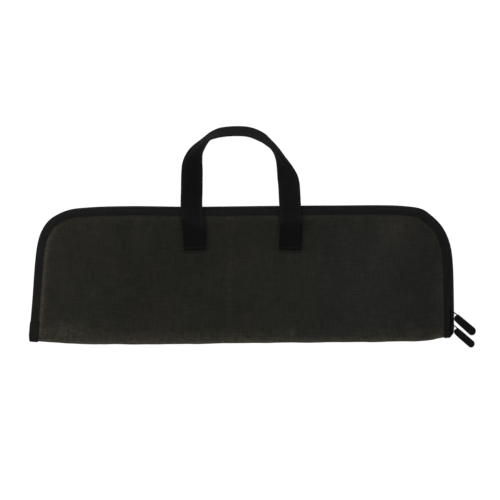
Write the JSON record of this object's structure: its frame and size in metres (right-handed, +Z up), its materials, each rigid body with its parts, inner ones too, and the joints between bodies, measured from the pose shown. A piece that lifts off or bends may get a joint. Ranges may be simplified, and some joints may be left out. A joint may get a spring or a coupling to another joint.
{
  "type": "chef knife roll",
  "caption": "Long flat zip-round waxed canvas case for kitchen knives, lying closed and empty, with a webbing carrying handle and moulded zip pulls at one end.",
  "frame": {"origin": "the middle of the footprint of the whole case with its handle and pulls, on the surface that it lies on", "axes": "+X along the case towards the end with the zip pulls, +Y from the folded lower edge towards the handle, +Z up out of the front panel"},
  "size_m": [0.4912, 0.2434, 0.0303],
  "materials": {
    "waxed_canvas": "dark olive charcoal waxed cotton canvas, mottled and lighter where it is rubbed",
    "binding_tape": "black woven binding tape, matt",
    "webbing": "black cotton webbing, matt",
    "zip_tape": "black woven zip tape",
    "zip_coil": "black nylon coil",
    "slider_metal": "black painted zinc and wire",
    "pull_grip": "black moulded rubber, finely textured"
  },
  "bodies": {
    "case": {"canvas_cover": "waxed_canvas", "binding_front": "binding_tape", "binding_back": "binding_tape", "corner_tab_left": "binding_tape", "corner_tab_right": "binding_tape", "zip_tape_front": "zip_tape", "zip_tape_back": "zip_tape", "zip_chain": "zip_coil", "handle_strap": "webbing", "zip_slider_upper": "slider_metal", "zip_slider_lower": "slider_metal"},
    "pull_upper": {"pull_wire_upper": "slider_metal", "pull_grip_upper": "pull_grip"},
    "pull_lower": {"pull_wire_lower": "slider_metal", "pull_grip_lower": "pull_grip"}
  },
  "joints": [
    {"name": "pull_upper_swing", "type": "hinge", "parent": "case", "child": "pull_upper", "pos_m": [0.2206, -0.08527, 0.01072], "axis": [0, -1, 0], "range_deg": [0, 60]},
    {"name": "pull_lower_swing", "type": "hinge", "parent": "case", "child": "pull_lower", "pos_m": [0.22062, -0.09967, 0.01056], "axis": [0, -1, 0], "range_deg": [0, 60]}
  ]
}
